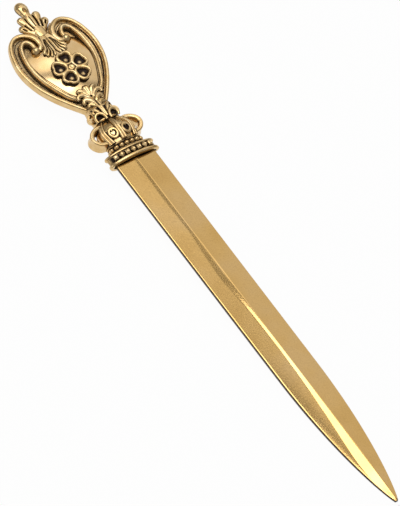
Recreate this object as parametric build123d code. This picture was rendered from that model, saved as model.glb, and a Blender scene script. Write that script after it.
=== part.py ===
"""Ornate brass letter opener: a ridged blade whose tang carries a jewelled collar, a pearled gallery,
a hooped crown and a heart-shaped handle with applied scrolls, leaves and a five-petalled rosette.

Millimetres. While the pieces are made, x runs across the handle, y runs up the handle from the collar's
lower face, and z comes out of the decorated face from the blade's middle plane. The finished pieces are
moved so that the origin lies under the middle of the opener, on the surface it lies on.
"""

import math
import os

from build123d import *

# Blade and tang
blade_length = 139.4
blade_width = 13.6
blade_edge_thickness = 1.3
blade_ridge_thickness = 2.9
blade_point_length = 53.0
blade_point_thickness = 0.7
blade_tip_width = 0.8
blade_point_stations = (0, 0.2, 0.4, 0.58, 0.73, 0.85, 0.93, 0.985)
blade_point_curve = 0.8
blade_edge_fall = 2
blade_ridge_fall = 4
tang_width = 5.0
tang_thickness = 2.0
tang_depth_in_neck = 4.0
tang_clearance = 0.1

# Collar under the crown
collar_width = 17.6
collar_depth = 6.0
collar_height = 3.9
collar_step = 0.1
collar_rim_height = 0.8
collar_channel_depth = 0.8
collar_wall = 0.9
collar_recess = 0.8
jewel_sink = 0.5
jewel_rings = ((0, 1.0), (0.6, 1.0), (1.2, 0.55))
jewel_pitch = 1.95
jewels_each_side = 7

# Pearled gallery between the collar and the crown
gallery_width = 11.2
gallery_depth = 4.0
gallery_height = 2.6
pearl_rings = ((0, 0.8), (0.5, 0.88), (1.0, 0.5))
pearl_count = 14
pearl_sides = 6

# Crown
crown_height = 8.5
crown_base_width = 11.2
crown_belly_width = 13.0
crown_belly_level = 4.2
crown_top_width = 8.0
crown_flatness = 0.58
crown_sides = 28
crown_ring_shares = (0, 0.22, 0.5, 0.75, 0.9, 1)
crown_rib_rise = 0.5
crown_rib_width = 1.2
crown_rib_turn = 64.0
hoop_reach = 9.2
hoop_radius = 3.9
hoop_level = 4.25
hoop_band = 0.9
hoop_breadth = 4.2
eyelet_width = 3.2
eyelet_height = 3.9
eyelet_offset = 2.35
eyelet_level = 2.9
eyelet_rise = 0.35
eyelet_heart = 1.0
eyelet_sides = 10
cap_height = 0.8
cap_overhang = 0.4
cap_bevel = 0.25

# Neck between the crown and the heart
neck_height = 4.2
neck_width = 7.6
neck_depth = 4.4
neck_run_out = 4.5
pin_radius = 0.8
pin_cover = 0.5
stem_radius = 0.75
bow_radius = 1.55
bow_band = 0.75
bow_rise = 0.6
bow_sides = 10
bow_offset = 2.2
scroll_radius = 1.35
scroll_breadth = 2.6
scroll_offset = 4.35
scroll_band = 0.4
scroll_eye_radius = 0.6
scroll_groove = 0.3

# Heart-shaped plate and its mouldings
heart_height = 34.0
heart_width = 28.4
heart_foot_width = 6.8
heart_low_flank = (9.4, 7.8)
heart_widest_drop = 12.4
heart_high_flank = (12.5, 4.3)
heart_lobe_offset = 7.2
heart_dip = 3.0
heart_dip_side = (3.4, 1.6)
plate_back = 1.15
plate_front = 0.3
moulding_flat = 0.4
rim_width = 1.7
rim_wall = 0.45
rim_rise = 0.65
rim_inset = 1.05
volute_offset = 5.6
volute_drop = 4.4
volute_width = 4.8
volute_start = 110.0
volute_sweep = 175.0
bulb_radius = 1.3
bulb_taper = 20.0
frame_width = 1.5
frame_wall = 1.1
frame_rise = 0.6
frame_inset = 3.2
frame_head = ((6.0, 4.2), (8.0, 4.3))
frame_foot = ((5.6, 6.8), (3.0, 5.2))
panel_edge_rise = 1.0
panel_dome_rise = 1.2
panel_half_width = 10.0
panel_shoulder = (4.6, 9.4)
panel_top_drop = 10.6
panel_foot_rise = 5.0

# Rosette
rosette_level = 15.2
petal_count = 5
petal_pitch_radius = 3.6
petal_radius = 2.45
petal_wall = 0.8
petal_rise = 1.1
petal_cup_depth = 0.95
petal_cup_floor = 1.1
petal_sides = 10
rosette_foot = 1.9
boss_rings = ((0, 0.95), (0.8, 0.95), (1.3, 0.5))

# Leaves. A lobe's tip is given across from the middle and up or down from the leaf's own level
lobe_sides = 8
lobe_fullness = ((0, 0.45), (0.6, 1), (0.87, 0.85), (1, 0.3))
crest_tips = ((0, 9.8), (4.0, 5.0), (5.5, 1.2))
crest_widths = (4.3, 3.7, 3.3)
crest_axis = -0.3
crest_root_drop = 2.0
eye_size = 0.8
crest_eye_level = 6.3
crest_seat_drop = 5.0
waist_width = 4.2
waist_run = 6.5
waist_axis = 0.5
tongue_tips = ((0, 11.0), (3.7, 10.2))
tongue_widths = (2.7, 2.5)
tongue_axis = 1.2
tongue_root_rise = 3.0
base_leaf_tips = ((0, 8.1), (4.5, 5.8), (4.4, 2.8))
base_leaf_widths = (3.4, 2.7, 2.4)
base_leaf_axis = 1.6
base_leaf_root_drop = 1.5

# Levels of the stack, up from the collar's lower face
gallery_level = collar_height
crown_level = gallery_level + gallery_height
cap_level = crown_level + crown_height
neck_level = cap_level + cap_height
heart_level = neck_level + neck_height
lobe_level = heart_level + heart_height
crest_seat = lobe_level - crest_seat_drop


def level(y):
    """Plane across the handle at height y, with its own x along x and its own y along z."""
    return Plane.XZ.offset(-y)


def oval(y, width, depth):
    """Oval face across the handle."""
    return level(y) * Ellipse(width / 2, depth / 2)


def rise(face, amount):
    """Extrude a face that lies across the handle up the handle."""
    return extrude(face, amount=amount, dir=(0, 1, 0))


def cut_stone(seat, rings, sides, flatness=1.0):
    """Solid with flat facets whose rings of corners are given as (height over the seat, radius)."""
    corners = []
    for height, radius in rings:
        for i in range(sides):
            turn = 2 * math.pi * (i + 0.5) / sides
            spot = (radius * math.cos(turn), flatness * radius * math.sin(turn), height)
            corners.append(seat.from_local_coords(spot))
    return ConvexPolyhedron(corners)


def both_sides(shape):
    """The shape and its mirror image on the other side of the handle's middle."""
    return [shape, mirror(shape, about=Plane.YZ)]


def front_and_back(shape):
    """The shape and its mirror image on the back."""
    return [shape, mirror(shape, about=Plane.XY)]


def tang_slot():
    """Room for the tang through the pieces threaded on it."""
    slot = level(0) * Rectangle(tang_width + 2 * tang_clearance, tang_thickness + 2 * tang_clearance)
    return rise(slot, neck_level + tang_depth_in_neck + tang_clearance)


def pin_bar():
    """Cross pin from the neck's back, through the tang, to just under the neck's front."""
    bar = Plane.XY.offset(-neck_depth / 2) * Pos(0, neck_level + tang_depth_in_neck / 2) * Circle(pin_radius)
    return extrude(bar, amount=neck_depth - pin_cover)


def blade_section(y, width, edge, ridge):
    """Flat-edged lozenge: a ridge down the middle of both faces."""
    front = [(width / 2, edge / 2), (0, ridge / 2), (-width / 2, edge / 2)]
    back = [(-x, -z) for x, z in front]
    return level(y) * Polygon(*front, *back, align=None)


def make_blade():
    """Blade that narrows to a point in a long curve, with the tang that holds the handle together."""
    straight = blade_length - blade_point_length
    shoulder = blade_section(collar_recess, blade_width, blade_edge_thickness, blade_ridge_thickness)
    body = rise(blade_section(-straight, blade_width, blade_edge_thickness, blade_ridge_thickness), straight)
    body += rise(shoulder, -collar_recess)
    sections = []
    for share in blade_point_stations:
        width = max(blade_width * (1 - share**2) ** blade_point_curve, blade_tip_width)
        edge_loss = (blade_edge_thickness - blade_point_thickness) * share**blade_edge_fall
        ridge_loss = (blade_ridge_thickness - blade_point_thickness) * share**blade_ridge_fall
        edge = blade_edge_thickness - edge_loss
        ridge = blade_ridge_thickness - ridge_loss
        sections.append(blade_section(-straight - share * blade_point_length, width, edge, ridge))
    tang = level(collar_recess) * Rectangle(tang_width, tang_thickness)
    tang = rise(tang, neck_level + tang_depth_in_neck - collar_recess)
    return body + loft(sections) + tang - pin_bar()


def make_collar():
    """Stepped oval collar with a channel for the jewels and a recess that takes the blade's shoulder."""
    lower = oval(0, collar_width, collar_depth)
    channel = oval(0, collar_width - 2 * collar_channel_depth, collar_depth - 2 * collar_channel_depth)
    upper_level = collar_height - collar_rim_height
    upper = oval(upper_level, collar_width - 2 * collar_step, collar_depth - 2 * collar_step)
    collar = rise(lower, collar_rim_height) + rise(channel, collar_height) + rise(upper, collar_rim_height)
    recess = oval(0, collar_width - 2 * collar_wall, collar_depth - 2 * collar_wall)
    return collar - rise(recess, collar_recess) - tang_slot()


def make_collar_jewels(collar):
    """Square and lozenge jewels in turn, seated in the channel on the front and the back."""
    half_width = collar_width / 2 - collar_channel_depth
    half_depth = collar_depth / 2 - collar_channel_depth
    jewels = []
    for i in range(jewels_each_side):
        x = (i - (jewels_each_side - 1) / 2) * jewel_pitch
        z = half_depth * (1 - (x / half_width) ** 2) ** 0.5
        outward = Vector(x / half_width**2, 0, z / half_depth**2).normalized()
        foot = Vector(x, collar_height / 2, z) - outward * jewel_sink
        seat = Plane(origin=foot, x_dir=(0, 1, 0), z_dir=outward)
        stone = cut_stone(seat.rotated((0, 0, 45 * (i % 2))), jewel_rings, 4)
        jewels += front_and_back(stone - collar)
    return jewels


def gallery_corners():
    """Corners of the gallery's oval, one flat side for each pearl."""
    line = Ellipse(gallery_width / 2, gallery_depth / 2).edges()[0]
    return [line @ ((i + 0.5) / pearl_count) for i in range(pearl_count)]


def make_gallery_ring():
    """Oval ring with a flat seat for each pearl."""
    outline = Polygon(*[(p.X, p.Y) for p in gallery_corners()], align=None)
    return rise(level(gallery_level) * outline, gallery_height) - tang_slot()


def make_gallery_pearls():
    """Cut beads, one on each flat of the gallery."""
    corners = gallery_corners()
    pearls = []
    for i in range(pearl_count):
        start, end = corners[i - 1], corners[i]
        middle = (start + end) / 2
        outward = Vector(end.Y - start.Y, 0, start.X - end.X).normalized()
        spot = Vector(middle.X, gallery_level + gallery_height / 2, middle.Y)
        seat = Plane(origin=spot, x_dir=(0, 1, 0), z_dir=outward)
        pearls.append(cut_stone(seat, pearl_rings, pearl_sides))
    return pearls


def crown_width(height):
    """Width of the crown at a height over its foot: it swells to the belly and closes to the top."""
    if height < crown_belly_level:
        swell = math.sin(math.pi / 2 * height / crown_belly_level)
        return crown_base_width + (crown_belly_width - crown_base_width) * swell
    swell = math.cos(math.pi / 2 * (height - crown_belly_level) / (crown_height - crown_belly_level))
    return crown_top_width + (crown_belly_width - crown_top_width) * swell


def crown_skin(proud):
    """The crown's oval belly, made larger all round by a rise."""
    seat = Plane(origin=(0, crown_level, 0), x_dir=(1, 0, 0), z_dir=(0, 1, 0))
    rings = []
    for share in crown_ring_shares:
        rings.append((share * crown_height, crown_width(share * crown_height) / 2 + proud))
    return cut_stone(seat, rings, crown_sides, crown_flatness)


def make_crown_body():
    """Oval belly of the crown, threaded on the tang."""
    return crown_skin(0) - tang_slot()


def make_crown_ribs(body):
    """Six raised ribs from the crown's foot to its top."""
    skin = crown_skin(crown_rib_rise) - body - tang_slot()
    slice_box = Box(crown_rib_width, crown_height, 2 * crown_belly_width)
    middle = Pos(0, crown_level + crown_height / 2) * slice_box
    ribs = []
    for turn in (-crown_rib_turn, 0, crown_rib_turn):
        ribs += (skin & Rot(0, turn, 0) * middle).solids()
    return ribs


def heart_outline(size):
    """Small heart with straight cuts, its dip at the origin."""
    right = [(0.5 * size, 0.5 * size), (size, 0.2 * size), (0.9 * size, -0.5 * size)]
    left = [(-x, y) for x, y in reversed(right)]
    return Polygon((0, 0), *right, (0, -1.5 * size), *left, align=None)


def make_crown_hearts(body):
    """Oval eyelets with heart-shaped hollows, two on the front and two on the back."""
    skin = crown_skin(eyelet_rise) - body - tang_slot()
    rim = []
    for i in range(eyelet_sides):
        turn = 2 * math.pi * i / eyelet_sides
        rim.append((eyelet_width / 2 * math.cos(turn), eyelet_height / 2 * math.sin(turn)))
    eyelet = Polygon(*rim, align=None) - Pos(0, eyelet_heart / 2) * heart_outline(eyelet_heart)
    hearts = []
    for side in (-1, 1):
        seat = Pos(side * eyelet_offset, crown_level + eyelet_level)
        hearts += front_and_back(skin & extrude(seat * eyelet, amount=crown_belly_width))
    return hearts


def make_crown_hoop(ribs):
    """Open hoop that bows out from the crown's side, from its top to its foot."""
    ring = Circle(hoop_radius) - Circle(hoop_radius - hoop_band)
    seat = Pos(hoop_reach - hoop_radius, crown_level + hoop_level)
    return extrude(seat * ring, amount=hoop_breadth / 2, both=True) - crown_skin(0) - ribs


def make_crown_cap():
    """Oval ring with bevelled edges that closes the top of the crown."""
    seat = Plane(origin=(0, cap_level, 0), x_dir=(1, 0, 0), z_dir=(0, 1, 0))
    radius = crown_top_width / 2 + cap_overhang
    heights = (0, cap_bevel, cap_height - cap_bevel, cap_height)
    insets = (cap_bevel, 0, 0, cap_bevel)
    rings = [(height, radius - inset) for height, inset in zip(heights, insets)]
    return cut_stone(seat, rings, crown_sides, crown_flatness) - tang_slot()


def heart_flank():
    """Right edge of the heart from its foot to the top of its lobe."""
    return Spline(
        (heart_foot_width / 2, heart_level),
        (heart_low_flank[0], heart_level + heart_low_flank[1]),
        (heart_width / 2, lobe_level - heart_widest_drop),
        (heart_high_flank[0], lobe_level - heart_high_flank[1]),
        (heart_lobe_offset, lobe_level),
        tangents=((0.6, 0.8), (-1, 0)),
    )


def inside(flank, share, inset):
    """Point at a share of the flank's length, set in from the edge."""
    spot = flank @ share
    heading = flank % share
    return (spot.X - heading.Y * inset, spot.Y + heading.X * inset)


def make_heart_plate():
    """Heart-shaped plate with a thick neck that is socketed for the tang and drilled for its pin."""
    flank = heart_flank()
    bottom = (0, lobe_level - heart_dip)
    side = (heart_dip_side[0], lobe_level - heart_dip_side[1])
    dip = Spline(flank @ 1, side, bottom, tangents=((-1, 0), (-1, 0)))
    outline = mirrored_face([Line((0, heart_level), flank @ 0), flank, dip])
    plate = loft([Plane.XY.offset(-plate_back) * outline, Plane.XY.offset(plate_front) * outline], ruled=True)
    neck = rise(level(neck_level) * Rectangle(neck_width, neck_depth), neck_height)
    corners = []
    for y, width, back, front in (
        (heart_level, neck_width, neck_depth / 2, neck_depth / 2),
        (heart_level + neck_run_out, heart_foot_width, plate_back, plate_front),
    ):
        corners += [(x, y, z) for x in (-width / 2, width / 2) for z in (-back, front)]
    run_out = ConvexPolyhedron(corners)
    return plate + neck + run_out - tang_slot() - pin_bar()


def moulding(path, width, wall, arch):
    """Bar with upright sides and a bevelled top, swept along a path on the plate's face."""
    heading = path % 0
    seat = Plane(origin=path @ 0, x_dir=(-heading.Y, heading.X, 0), z_dir=heading)
    half = width / 2
    flat = half * moulding_flat
    top = [(half, wall), (flat, wall + arch), (-flat, wall + arch), (-half, wall)]
    return sweep(seat * Polygon((half, 0), *top, (-half, 0), align=None), path)


def mirrored_face(right):
    """Face between a line from the middle round the right side back to the middle, and its mirror image."""
    middle = Line(right[-1] @ 1, right[0] @ 0)
    half = make_face([*right, middle])
    return half + mirror(half, about=Plane.YZ)


def on_plate(points):
    """Lift flat points to the plate's face."""
    return [(x, y, plate_front) for x, y in points]


def volute_points():
    """Points round the curl at the top of the rim scroll, from its crown to its foot."""
    centre = (volute_offset, lobe_level - volute_drop)
    half_width = volute_width / 2
    half_height = volute_drop - rim_inset
    curl = EllipticalCenterArc(centre, half_width, half_height, start_angle=volute_start, arc_size=volute_sweep)
    return [((curl @ share).X, (curl @ share).Y) for share in (0, 0.25, 0.5, 0.75, 1)]


def make_rim_scroll():
    """Scroll along the heart's edge that curls over the lobe and ends in a bulb."""
    flank = heart_flank()
    edge = [inside(flank, share, rim_inset) for share in (0, 0.2, 0.4, 0.6, 0.8, 0.93)]
    curl = volute_points()
    scroll = moulding(Spline(*on_plate(edge + curl)), rim_width, rim_wall, rim_rise)
    bulb = Plane.XY.offset(plate_front) * Pos(*curl[-1]) * Circle(bulb_radius)
    return scroll + extrude(bulb, amount=rim_wall + rim_rise, taper=bulb_taper)


def frame_points():
    """Points along the inner frame, from inside the volute down to the base leaf."""
    flank = heart_flank()
    head = [(x, lobe_level - y) for x, y in frame_head]
    side = [inside(flank, share, frame_inset) for share in (0.75, 0.6, 0.45, 0.3)]
    foot = [(x, heart_level + y) for x, y in frame_foot]
    return head + side + foot


def make_inner_frame():
    """Raised bar round the panel, set in from the rim scroll."""
    return moulding(Spline(*on_plate(frame_points())), frame_width, frame_wall, frame_rise)


def make_panel(frames, scrolls):
    """Domed field inside the frame."""
    side = Spline(*reversed(frame_points()[len(frame_head) :]))
    shoulder = (panel_shoulder[0], lobe_level - panel_shoulder[1])
    top = Spline(side @ 1, shoulder, (0, lobe_level - panel_top_drop), tangents=((-0.7, -0.7), (-1, 0)))
    outline = mirrored_face([Line((0, heart_level + panel_foot_rise), side @ 0), side, top])
    block = extrude(Plane.XY.offset(plate_front) * outline, amount=panel_edge_rise + panel_dome_rise)
    dome_radius = (panel_half_width**2 + panel_dome_rise**2) / (2 * panel_dome_rise)
    top_z = plate_front + panel_edge_rise + panel_dome_rise
    dome = Pos(0, heart_level + rosette_level, top_z - dome_radius) * Rot(90, 0, 0) * Sphere(dome_radius)
    return (block & dome) - frames - scrolls


def make_rosette():
    """Five cupped petals with flat facets, one pointing to the crest."""
    top = plate_front + panel_edge_rise + panel_dome_rise + petal_rise
    lip = petal_wall / 2
    petal_rings = ((rosette_foot, petal_radius), (top - lip, petal_radius), (top, petal_radius - lip))
    cup_rings = ((top, petal_radius - petal_wall), (top - petal_cup_depth, petal_cup_floor))
    petals = []
    cups = []
    centre = Pos(0, heart_level + rosette_level)
    for i in range(petal_count):
        turn = centre * Rot(0, 0, 360 * i / petal_count) * Pos(0, petal_pitch_radius)
        petals.append(turn * cut_stone(Plane.XY, petal_rings, petal_sides))
        cups.append(turn * cut_stone(Plane.XY, cup_rings, petal_sides))
    return petals[0].fuse(*petals[1:]).cut(*cups)


def make_rosette_boss():
    """Small cut boss in the middle of the petals."""
    seat = Plane(origin=(0, heart_level + rosette_level, rosette_foot))
    return cut_stone(seat, boss_rings, petal_sides)


def lobe(root, tip, width):
    """Leaf lobe with flat facets, from its narrow root over its belly to its blunt tip."""
    run = Vector(*tip) - Vector(*root)
    rings = [(share * run.length, fullness * width / 2) for share, fullness in lobe_fullness]
    return cut_stone(Plane(origin=root, x_dir=(0, 0, 1), z_dir=run), rings, lobe_sides)


def leaf(root, tips, widths):
    """Lobes that fan out from one root, each off the middle with its mirror image, joined into one leaf."""
    lobes = []
    for tip, width in zip(tips, widths):
        finger = lobe(root, tip, width)
        lobes += both_sides(finger) if tip[0] else [finger]
    return lobes[0].fuse(*lobes[1:])


def seated(shape, grounds):
    """A leaf cut flat at the plate's back and fitted to the pieces under it."""
    shape = split(shape, bisect_by=Plane.XY.offset(-plate_back), keep=Keep.TOP)
    for ground in grounds:
        shape = shape - ground
    return shape


def make_crest(grounds):
    """Palmette that stands in the dip between the heart's lobes, with a smooth waist below it."""
    root = (0, lobe_level - crest_root_drop, crest_axis)
    tips = [(x, lobe_level + y, crest_axis) for x, y in crest_tips]
    fan = leaf(root, tips, crest_widths)
    foot = (0, crest_seat - waist_run, waist_axis)
    waist = lobe(foot, (0, crest_seat + waist_run, waist_axis), waist_width)
    waist = split(waist, bisect_by=Plane.XZ.offset(-crest_seat), keep=Keep.BOTTOM)
    head_front = crest_axis + crest_widths[0] / 2
    eye = Pos(0, lobe_level + crest_eye_level, head_front) * Box(eye_size, eye_size, eye_size)
    return seated(fan + waist, grounds) - eye


def make_crest_leaf(grounds):
    """Three tongues that fall from the crest's waist over the top of the panel."""
    root = (0, crest_seat + tongue_root_rise, tongue_axis)
    tips = [(x, lobe_level - y, tongue_axis) for x, y in tongue_tips]
    tongues = leaf(root, tips, tongue_widths)
    tongues = split(tongues, bisect_by=Plane.XZ.offset(-crest_seat), keep=Keep.TOP)
    return seated(tongues, grounds)


def make_base_leaf(grounds):
    """Leaf that rises from the neck over the foot of the panel."""
    root = (0, heart_level - base_leaf_root_drop, base_leaf_axis)
    tips = [(x, heart_level + y, base_leaf_axis) for x, y in base_leaf_tips]
    whole = leaf(root, tips, base_leaf_widths)
    whole = split(whole, bisect_by=Plane.XZ.offset(-heart_level), keep=Keep.BOTTOM)
    return seated(whole, grounds)


def make_neck_stem():
    """Half-round stem on the neck's front, from the crown's cap to the base leaf."""
    stem = level(neck_level) * Pos(0, neck_depth / 2) * Circle(stem_radius)
    return split(rise(stem, neck_height), bisect_by=Plane.XY.offset(neck_depth / 2), keep=Keep.TOP)


def make_neck_bow(stem):
    """Round bow on the neck's front, beside the stem, standing on the cap."""
    ring = RegularPolygon(bow_radius, bow_sides) - RegularPolygon(bow_radius - bow_band, bow_sides)
    seat = Plane.XY.offset(neck_depth / 2) * Pos(bow_offset, neck_level + bow_radius)
    return extrude(seat * ring, amount=bow_rise) - stem


def make_neck_scroll(plate):
    """Scroll end standing on the cap at the neck's side, with a groove round its eye."""
    disc = extrude(Circle(scroll_radius), amount=scroll_breadth / 2, both=True)
    groove = Circle(scroll_radius - scroll_band) - Circle(scroll_eye_radius)
    disc -= extrude(Plane.XY.offset(scroll_breadth / 2) * groove, amount=-scroll_groove)
    return Pos(scroll_offset, neck_level + scroll_radius) * disc - plate


if __name__ == "__main__":
    os.makedirs("parts", exist_ok=True)
    blade = make_blade()
    collar = make_collar()
    gallery_ring = make_gallery_ring()
    crown_body = make_crown_body()
    heart_plate = make_heart_plate()
    scrolls = both_sides(make_rim_scroll() - heart_plate)
    frames = both_sides(make_inner_frame() - scrolls[0])
    rosette = make_rosette()
    boss = make_rosette_boss()
    panel = make_panel(frames, scrolls) - rosette - boss
    ribs = make_crown_ribs(crown_body)
    hoops = both_sides(make_crown_hoop(ribs))
    grounds = [heart_plate, *scrolls, *frames, panel]
    stem = make_neck_stem()
    neck_scrolls = both_sides(make_neck_scroll(heart_plate))
    pieces = {
        "blade": [blade],
        "collar": [collar],
        "collar_jewels": make_collar_jewels(collar),
        "gallery_ring": [gallery_ring],
        "gallery_pearls": make_gallery_pearls(),
        "crown_body": [crown_body],
        "crown_ribs": ribs,
        "crown_hearts": make_crown_hearts(crown_body),
        "crown_hoop_right": [hoops[0]],
        "crown_hoop_left": [hoops[1]],
        "crown_cap": [make_crown_cap()],
        "heart_plate": [heart_plate],
        "rim_scroll_right": [scrolls[0]],
        "rim_scroll_left": [scrolls[1]],
        "inner_frame_right": [frames[0]],
        "inner_frame_left": [frames[1]],
        "panel": [panel],
        "rosette": [rosette],
        "rosette_boss": [boss],
        "crest": [make_crest(grounds)],
        "crest_leaf": [make_crest_leaf(grounds)],
        "base_leaf": [make_base_leaf(grounds)],
        "neck_stem": [stem],
        "neck_bows": both_sides(make_neck_bow(stem)),
        "neck_scroll_right": [neck_scrolls[0]],
        "neck_scroll_left": [neck_scrolls[1]],
        "tang_pin": [pin_bar()],
    }
    assembly = Compound(children=[solid for solids in pieces.values() for solid in solids])
    box = assembly.bounding_box()
    to_origin = Pos(0, -box.center().Y, -box.min.Z)
    for name, solids in pieces.items():
        piece = Compound(children=[to_origin * solid for shape in solids for solid in shape.solids()])
        export_step(piece, f"parts/{name}.step")
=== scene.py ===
"""Letter opener in antiqued gilt: its dressed pieces, their finishes, the studio and the photograph's view.

Pieces are modelled on a bench in millimetres, x across the handle, y up from the collar's lower face and
z out of the decorated face from the blade's middle plane. settle() then moves each to its place.
"""

import math

import bpy
import numpy as np
from mathutils import Matrix, Vector
from mathutils.bvhtree import BVHTree


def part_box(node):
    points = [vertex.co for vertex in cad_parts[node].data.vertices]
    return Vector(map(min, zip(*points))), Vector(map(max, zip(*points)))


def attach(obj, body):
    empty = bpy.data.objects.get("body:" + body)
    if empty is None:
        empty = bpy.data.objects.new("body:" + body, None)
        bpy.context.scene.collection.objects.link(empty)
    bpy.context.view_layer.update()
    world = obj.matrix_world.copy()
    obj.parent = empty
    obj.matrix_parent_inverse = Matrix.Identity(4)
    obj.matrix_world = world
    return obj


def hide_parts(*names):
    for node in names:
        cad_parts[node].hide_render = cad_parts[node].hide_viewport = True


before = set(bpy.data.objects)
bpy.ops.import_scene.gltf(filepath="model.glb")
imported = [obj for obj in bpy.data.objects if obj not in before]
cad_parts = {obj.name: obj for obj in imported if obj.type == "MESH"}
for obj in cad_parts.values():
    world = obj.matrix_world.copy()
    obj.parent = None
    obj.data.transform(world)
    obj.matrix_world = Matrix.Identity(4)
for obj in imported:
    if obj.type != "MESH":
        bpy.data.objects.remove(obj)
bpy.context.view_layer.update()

MM = 0.001
collar_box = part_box("collar")
blade_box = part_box("blade")
bench_origin = Vector((0, collar_box[0].y, (blade_box[0].z + blade_box[1].z) / 2))
to_place = Matrix.Translation(bench_origin) @ Matrix.Scale(MM, 4)

# Blade, in mm on the bench: half thickness of the edge at the collar and at the point, of the ridge at the
# collar, at mid length and at the point, then the slopes of facet and shoulder by height
blade_run = 86.4
point_run = 53.0
blade_half = 6.8
edge_half = (0.65, 0.42)
ridge_half = (1.21, 1.44, 0.35)
ridge_rounding = 0.08
facet_swell = 0.25
facet_slope = (
    (-139, 0.15), (-130, 0.12), (-121, 0.095), (-100, 0.09), (-60, 0.087), (-40, 0.08), (-15, 0.0755),
    (0, 0.0775),
)
shoulder_slope = ((-78, 0.23), (-66, 0.17), (-58, 0.13), (-48, 0.107), (-36, 0.105), (-20, 0.11), (0, 0.118))
tang_size = (5.0, 18.9, 2.0)
tang_middle = 10.2

# Collar, gallery and crown: ovals by half width and half depth
collar_half = (8.0, 2.2)
jewels_each_side = 7
jewel_pitch = 1.95
jewel_level = 1.95
gallery_half = (5.6, 2.0)
pearl_oval = (5.7, 2.1)
pearl_level = 5.2
pearl_radius = 0.78
pearl_count = 14
crown_foot = 6.5
crown_rise = 8.5
crown_belly_level = 4.2
crown_flatness = 0.58
crown_cap_half = (4.0, 2.32)
rib_turns = (-50, 0, 50, 130, 180, 230)
eyelet_turns = (-22, 22, 158, 202)
# Eyelets on the left whose floors get a painted highlight
highlit_eyelets = (-22, 202)
eyelet_level = 2.9

# Heart: front of the plate, the domed field, the rosette, how dark its cups are painted with patina and
# painted shade and how much a painted highlight lifts them, and how dark the channels are, left and right
face = 0.3
plate_back = -1.13
field_top = 2.5
field_radius = 42.3
rosette_middle = 35.2
petal_count = 5
petal_reach = 3.55
cup_shade_and_highlight = (0.86, 0.42)
channel_darkness = (0.56, 0.44)

# Lines of the right half's mouldings
rim_path = (
    (2.6, 20.7), (4.15, 22.55), (7.15, 26.45), (9.85, 30.6), (11.93, 35.05), (13.0, 39.85), (13.1, 42.8),
    (12.7, 45.6), (11.5, 49.3), (9.7, 51.6), (7.3, 52.45), (5.2, 51.5), (3.9, 50.0), (3.4, 48.3), (3.8, 46.6),
    (5.0, 45.9),
)
frame_path = (
    (5.4, 46.2), (5.3, 47.5), (5.7, 48.9), (6.95, 49.85), (8.55, 49.1), (9.65, 46.8), (10.2, 44.0),
    (10.35, 41.0), (10.15, 38.2), (9.5, 35.4), (8.4, 32.5), (7.15, 29.7), (5.9, 27.4), (4.5, 25.9), (3.0, 25.1),
)
bulb_middle = (5.5, 45.7)


def pick(piece):
    """Select one piece and nothing else."""
    bpy.ops.object.select_all(action="DESELECT")
    piece.select_set(True)
    bpy.context.view_layer.objects.active = piece


def fresh(name):
    """Name the primitive that was just added."""
    piece = bpy.context.object
    piece.name = name
    return piece


def modify(piece, kind, **settings):
    """Add a modifier and apply it."""
    pick(piece)
    modifier = piece.modifiers.new(kind.title(), kind)
    for setting, value in settings.items():
        setattr(modifier, setting, value)
    bpy.ops.object.modifier_apply(modifier=modifier.name)


def join(name, pieces):
    """Join pieces into one object."""
    bpy.ops.object.select_all(action="DESELECT")
    for piece in pieces:
        piece.select_set(True)
    bpy.context.view_layer.objects.active = pieces[0]
    if len(pieces) > 1:
        bpy.ops.object.join()
    return fresh(name)


def cast(name, pieces, grain, rounds):
    """Run pieces together into one casting, with soft inner corners."""
    piece = join(name, pieces)
    modify(piece, "REMESH", mode="VOXEL", voxel_size=grain)
    modify(piece, "SMOOTH", factor=0.5, iterations=rounds)
    return piece


def copy_of(piece):
    """A copy of a piece with its own mesh."""
    twin = piece.copy()
    twin.data = piece.data.copy()
    bpy.context.collection.objects.link(twin)
    return twin


def mirrored(piece):
    """The same piece on the other side of the handle."""
    twin = copy_of(piece)
    twin.data.transform(Matrix.Scale(-1, 4, (1, 0, 0)))
    twin.data.flip_normals()
    return twin


def from_cad(name, node):
    """A merged copy of a CAD node, brought to the bench."""
    piece = copy_of(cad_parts[node])
    piece.name = name
    piece.parent = None
    piece.matrix_world = Matrix.Identity(4)
    piece.data.transform(to_place.inverted())
    pick(piece)
    bpy.ops.object.mode_set(mode="EDIT")
    bpy.ops.mesh.select_all(action="SELECT")
    bpy.ops.mesh.remove_doubles(threshold=0.001)
    bpy.ops.object.mode_set(mode="OBJECT")
    return piece


def turn(name, stations, sides):
    """Raise a ring through stations of (height, half width, half depth) up the handle, and close its ends."""
    bpy.ops.object.select_all(action="DESELECT")
    bpy.ops.mesh.primitive_circle_add(vertices=sides, radius=1, rotation=(math.pi / 2, 0, 0))
    piece = fresh(name)
    bpy.ops.object.transform_apply(rotation=True)
    bpy.ops.object.mode_set(mode="EDIT")
    bpy.ops.mesh.select_all(action="SELECT")
    bpy.ops.mesh.edge_face_add()
    height, width, depth = stations[0]
    bpy.ops.transform.resize(value=(width, 1, depth))
    bpy.ops.transform.translate(value=(0, height, 0))
    for next_height, next_width, next_depth in stations[1:]:
        bpy.ops.mesh.extrude_region_move(TRANSFORM_OT_translate={"value": (0, next_height - height, 0)})
        bpy.ops.transform.resize(value=(next_width / width, 1, next_depth / depth))
        height, width, depth = next_height, next_width, next_depth
    bpy.ops.object.mode_set(mode="OBJECT")
    return piece


def oval_profile(steps, width, depth):
    """Stations of an oval turning from steps of (height, stand-off from the oval)."""
    return [(height, width + proud, depth + proud) for height, proud in steps]


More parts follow.
